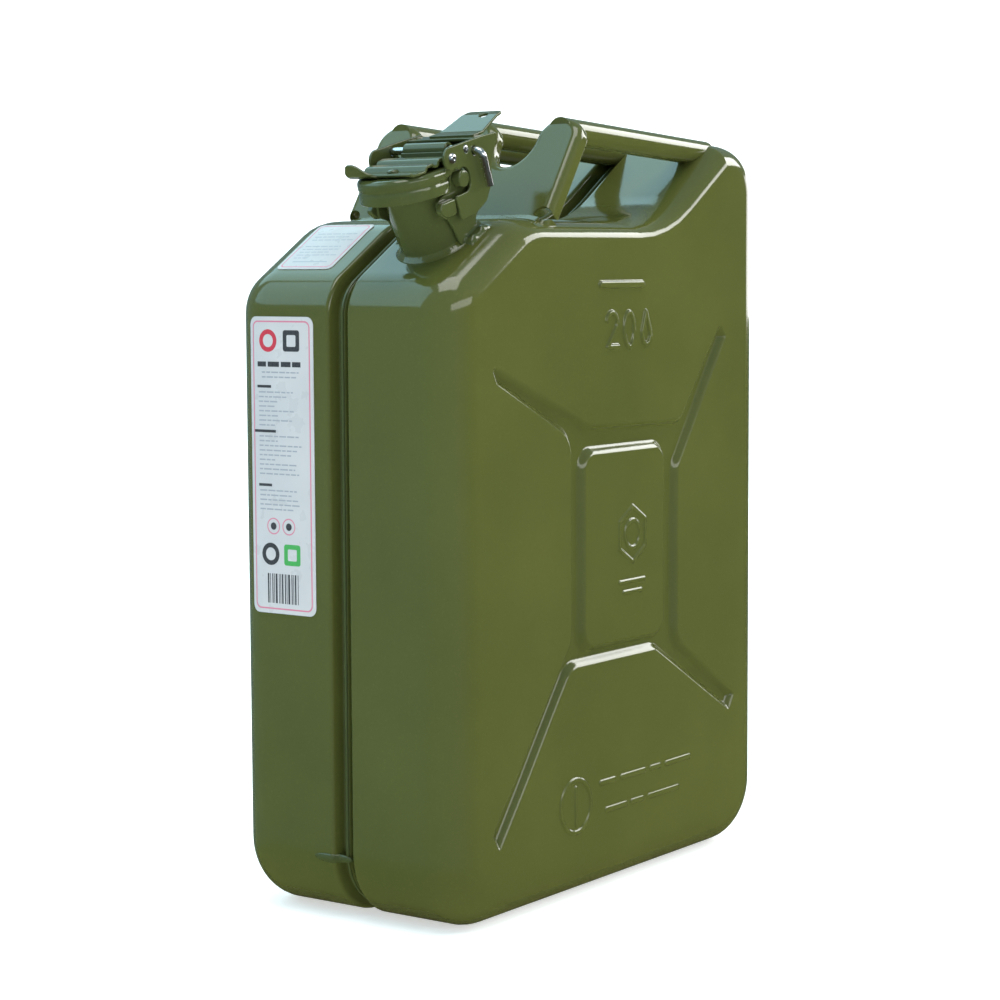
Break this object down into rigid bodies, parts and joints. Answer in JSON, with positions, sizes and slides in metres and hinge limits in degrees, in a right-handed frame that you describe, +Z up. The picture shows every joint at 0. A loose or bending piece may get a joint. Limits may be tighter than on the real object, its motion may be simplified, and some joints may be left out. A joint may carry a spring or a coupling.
{
  "type": "jerry can",
  "caption": "Steel fuel can of pressed half shells with a recessed welded seam, parallel carrying bars and a leaning filler neck closed by a hinged lid with a latch lever.",
  "frame": {"origin": "centre of the bounding box's bottom, on the surface the can stands on", "axes": "+Z up; +X from the filler neck's end towards the air chamber's end; +Y across the can, away from the filler neck's half"},
  "size_m": [0.359, 0.165, 0.471],
  "materials": {
    "enamel": "gloss olive green stoving enamel",
    "zinc": "bright zinc plate",
    "rubber": "matt black fuel-proof rubber",
    "tube_steel": "bare drawn tube",
    "label": "printed self-adhesive film"
  },
  "bodies": {
    "can": {"body_half_near": "enamel", "body_half_far": "enamel", "seam_weld": "enamel", "filler_neck": "enamel", "neck_weld_front": "enamel", "neck_weld_rear": "enamel", "breather_pipe": "tube_steel", "hinge_ear_near": "enamel", "hinge_ear_far": "enamel", "latch_stud_near": "enamel", "latch_stud_far": "enamel", "neck_lug_near": "enamel", "neck_lug_far": "enamel", "hinge_pin": "zinc", "handle_bracket": "enamel", "handle_bar_near": "enamel", "handle_bar_middle": "enamel", "handle_bar_far": "enamel", "label_front": "label", "label_shoulder": "label"},
    "lid": {"cap": "enamel", "cap_gasket": "rubber", "cap_strap": "enamel", "strap_rivet": "zinc", "lever_pivot_pin": "zinc"},
    "lever": {"latch_lever": "enamel", "lever_rivet_near": "zinc", "lever_rivet_far": "zinc"},
    "pin": {"locking_pin": "zinc"}
  },
  "joints": [
    {"name": "cap_hinge", "type": "hinge", "parent": "can", "child": "lid", "pos_m": [-0.11188, -0.0385, 0.42495], "axis": [0, 1, 0], "range_deg": [0, 90]},
    {"name": "lever_hinge", "type": "hinge", "parent": "lid", "child": "lever", "pos_m": [-0.12884, -0.0385, 0.44751], "axis": [0, -1, 0], "range_deg": [0, 130.5]},
    {"name": "locking_pin_slide", "type": "slide", "parent": "lever", "child": "pin", "axis": [0, -1, 0], "range_m": [0, 0.012]}
  ],
  "couplings": [
    {"joint": "lever_hinge", "follows": "cap_hinge", "ratio": 1.45}
  ]
}
